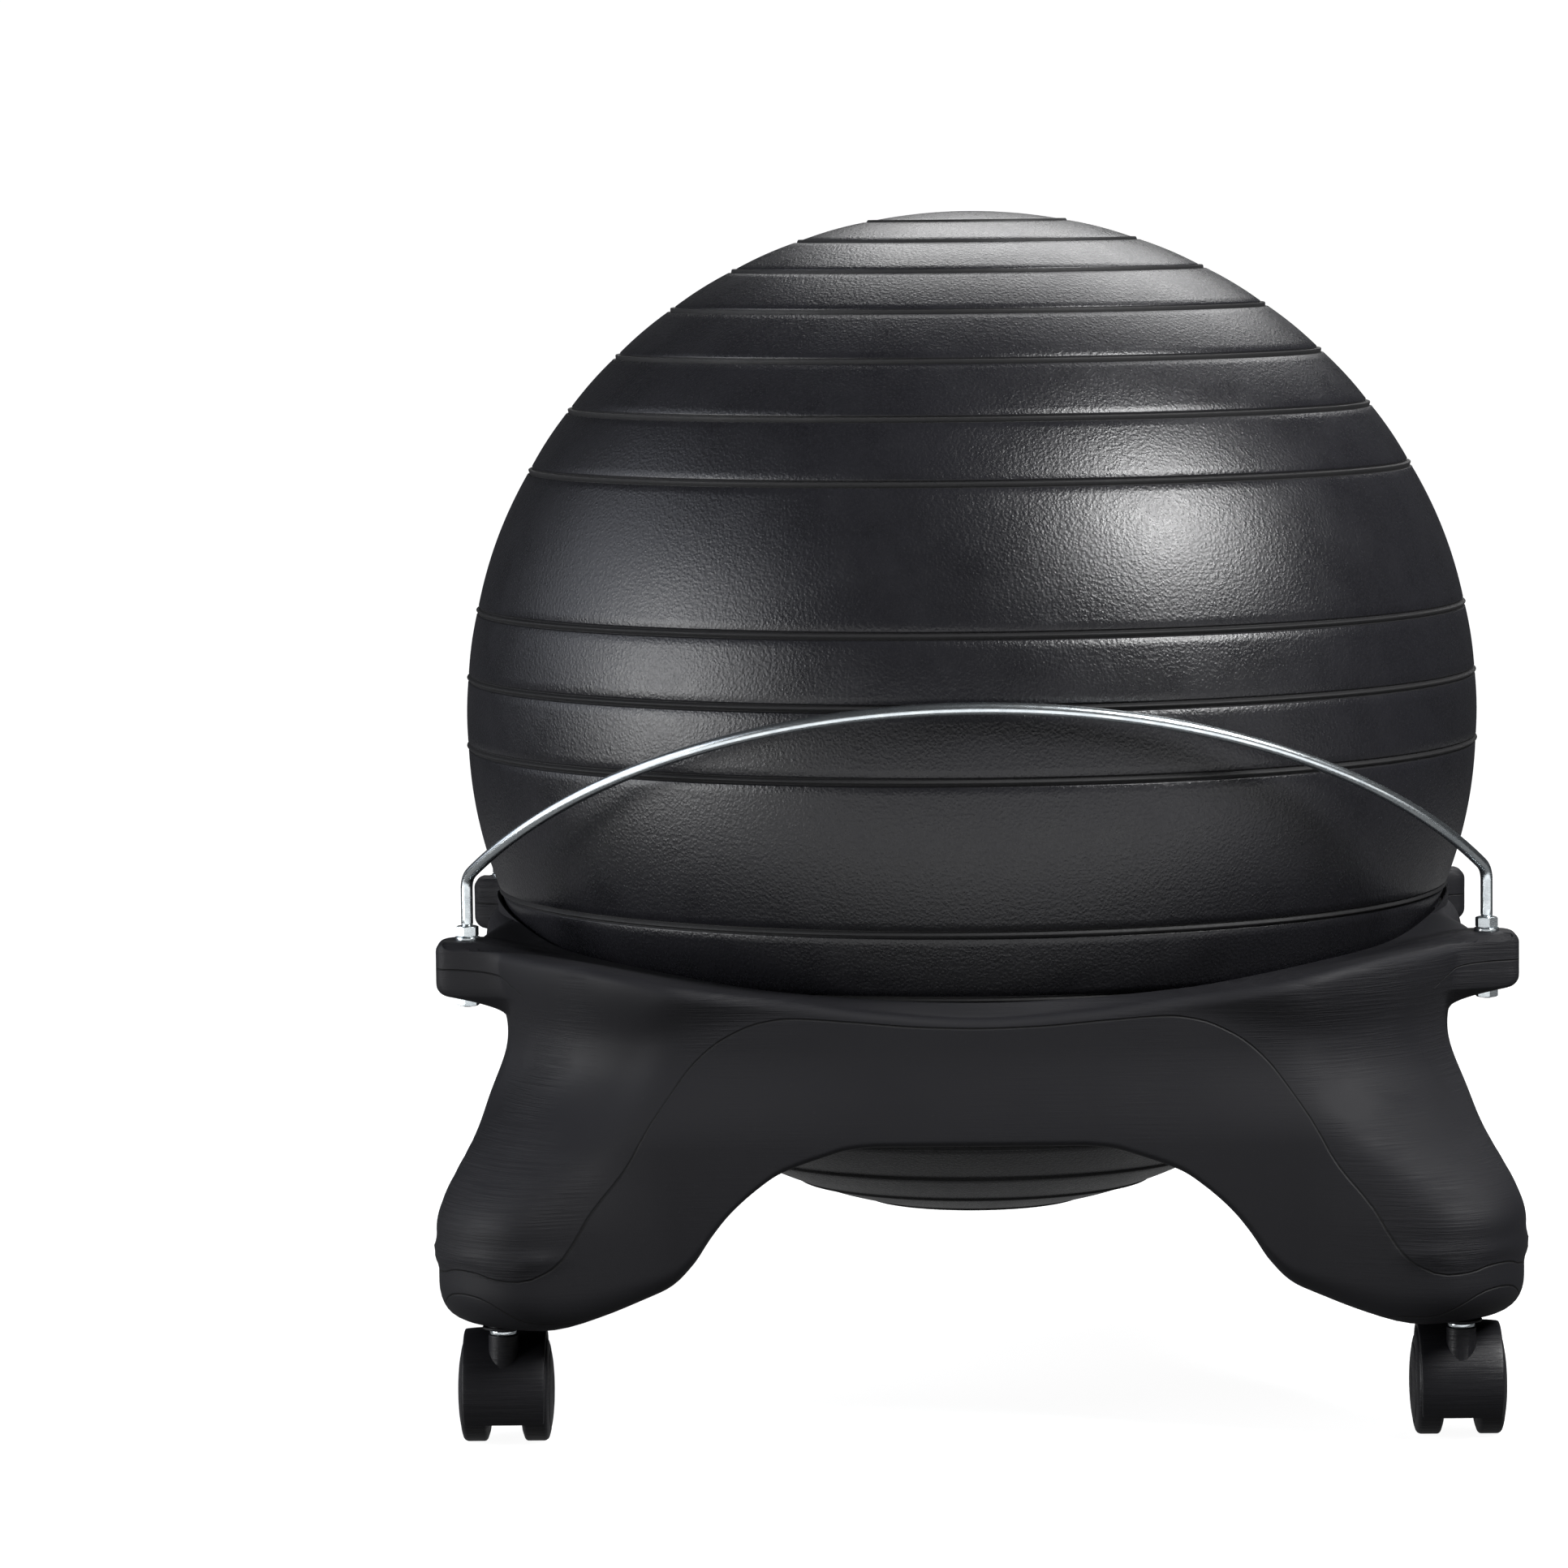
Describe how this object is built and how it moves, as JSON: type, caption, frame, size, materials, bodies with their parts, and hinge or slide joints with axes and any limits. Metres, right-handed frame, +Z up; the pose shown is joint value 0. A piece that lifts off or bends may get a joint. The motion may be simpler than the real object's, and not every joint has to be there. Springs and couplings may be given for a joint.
{
  "type": "balance ball chair",
  "caption": "Inflated exercise-ball seat held in a moulded four-legged base on twin-wheel swivel casters, with a bent steel bar over the ball at front and back.",
  "frame": {"origin": "on the floor under the centre of the base", "axes": "+Z up, -Y towards the front, +X to the right of someone who faces the front"},
  "size_m": [0.535, 0.5372, 0.596],
  "materials": {
    "ball_pvc": "fine pebbled satin",
    "plug": "smooth",
    "moulded_base": "satin, faintly scuffed",
    "caster_nylon": "satin",
    "zinc": "bright zinc plate",
    "steel": "turned"
  },
  "bodies": {
    "base": {"base_shell": "moulded_base", "front_support_bar": "zinc", "rear_support_bar": "zinc", "front_left_bar_washer": "zinc", "front_left_bar_upper_nut": "zinc", "front_left_bar_lower_nut": "zinc", "front_left_caster_socket": "caster_nylon", "front_right_bar_washer": "zinc", "front_right_bar_upper_nut": "zinc", "front_right_bar_lower_nut": "zinc", "front_right_caster_socket": "caster_nylon", "rear_left_bar_washer": "zinc", "rear_left_bar_upper_nut": "zinc", "rear_left_bar_lower_nut": "zinc", "rear_left_caster_socket": "caster_nylon", "rear_right_bar_washer": "zinc", "rear_right_bar_upper_nut": "zinc", "rear_right_bar_lower_nut": "zinc", "rear_right_caster_socket": "caster_nylon"},
    "ball": {"ball_skin": "ball_pvc", "ball_plug": "plug"},
    "front_left_caster": {"front_left_caster_stem": "steel", "front_left_caster_hood": "caster_nylon", "front_left_caster_axle": "steel"},
    "front_left_outer_wheel": {"front_left_caster_outer_wheel": "caster_nylon"},
    "front_left_inner_wheel": {"front_left_caster_inner_wheel": "caster_nylon"},
    "front_right_caster": {"front_right_caster_stem": "steel", "front_right_caster_hood": "caster_nylon", "front_right_caster_axle": "steel"},
    "front_right_outer_wheel": {"front_right_caster_outer_wheel": "caster_nylon"},
    "front_right_inner_wheel": {"front_right_caster_inner_wheel": "caster_nylon"},
    "rear_left_caster": {"rear_left_caster_stem": "steel", "rear_left_caster_hood": "caster_nylon", "rear_left_caster_axle": "steel"},
    "rear_left_outer_wheel": {"rear_left_caster_outer_wheel": "caster_nylon"},
    "rear_left_inner_wheel": {"rear_left_caster_inner_wheel": "caster_nylon"},
    "rear_right_caster": {"rear_right_caster_stem": "steel", "rear_right_caster_hood": "caster_nylon", "rear_right_caster_axle": "steel"},
    "rear_right_outer_wheel": {"rear_right_caster_outer_wheel": "caster_nylon"},
    "rear_right_inner_wheel": {"rear_right_caster_inner_wheel": "caster_nylon"}
  },
  "joints": [
    {"name": "ball_turn", "type": "hinge", "parent": "base", "child": "ball", "pos_m": [0, 0, 0.3385], "axis": [0, 0, 1], "continuous": true},
    {"name": "front_left_caster_swivel", "type": "hinge", "parent": "base", "child": "front_left_caster", "pos_m": [-0.232, -0.232, 0.06], "axis": [0, 0, 1], "continuous": true},
    {"name": "front_left_outer_wheel_spin", "type": "hinge", "parent": "front_left_caster", "child": "front_left_outer_wheel", "pos_m": [-0.232, -0.213, 0.02518], "axis": [1, 0, 0], "continuous": true},
    {"name": "front_left_inner_wheel_spin", "type": "hinge", "parent": "front_left_caster", "child": "front_left_inner_wheel", "pos_m": [-0.232, -0.213, 0.02518], "axis": [1, 0, 0], "continuous": true},
    {"name": "front_right_caster_swivel", "type": "hinge", "parent": "base", "child": "front_right_caster", "pos_m": [0.232, -0.232, 0.06], "axis": [0, 0, 1], "continuous": true},
    {"name": "front_right_outer_wheel_spin", "type": "hinge", "parent": "front_right_caster", "child": "front_right_outer_wheel", "pos_m": [0.232, -0.213, 0.02518], "axis": [1, 0, 0], "continuous": true},
    {"name": "front_right_inner_wheel_spin", "type": "hinge", "parent": "front_right_caster", "child": "front_right_inner_wheel", "pos_m": [0.232, -0.213, 0.02518], "axis": [1, 0, 0], "continuous": true},
    {"name": "rear_left_caster_swivel", "type": "hinge", "parent": "base", "child": "rear_left_caster", "pos_m": [-0.232, 0.232, 0.06], "axis": [0, 0, 1], "continuous": true},
    {"name": "rear_left_outer_wheel_spin", "type": "hinge", "parent": "rear_left_caster", "child": "rear_left_outer_wheel", "pos_m": [-0.232, 0.213, 0.02518], "axis": [1, 0, 0], "continuous": true},
    {"name": "rear_left_inner_wheel_spin", "type": "hinge", "parent": "rear_left_caster", "child": "rear_left_inner_wheel", "pos_m": [-0.232, 0.213, 0.02518], "axis": [1, 0, 0], "continuous": true},
    {"name": "rear_right_caster_swivel", "type": "hinge", "parent": "base", "child": "rear_right_caster", "pos_m": [0.232, 0.232, 0.06], "axis": [0, 0, 1], "continuous": true},
    {"name": "rear_right_outer_wheel_spin", "type": "hinge", "parent": "rear_right_caster", "child": "rear_right_outer_wheel", "pos_m": [0.232, 0.213, 0.02518], "axis": [1, 0, 0], "continuous": true},
    {"name": "rear_right_inner_wheel_spin", "type": "hinge", "parent": "rear_right_caster", "child": "rear_right_inner_wheel", "pos_m": [0.232, 0.213, 0.02518], "axis": [1, 0, 0], "continuous": true}
  ]
}
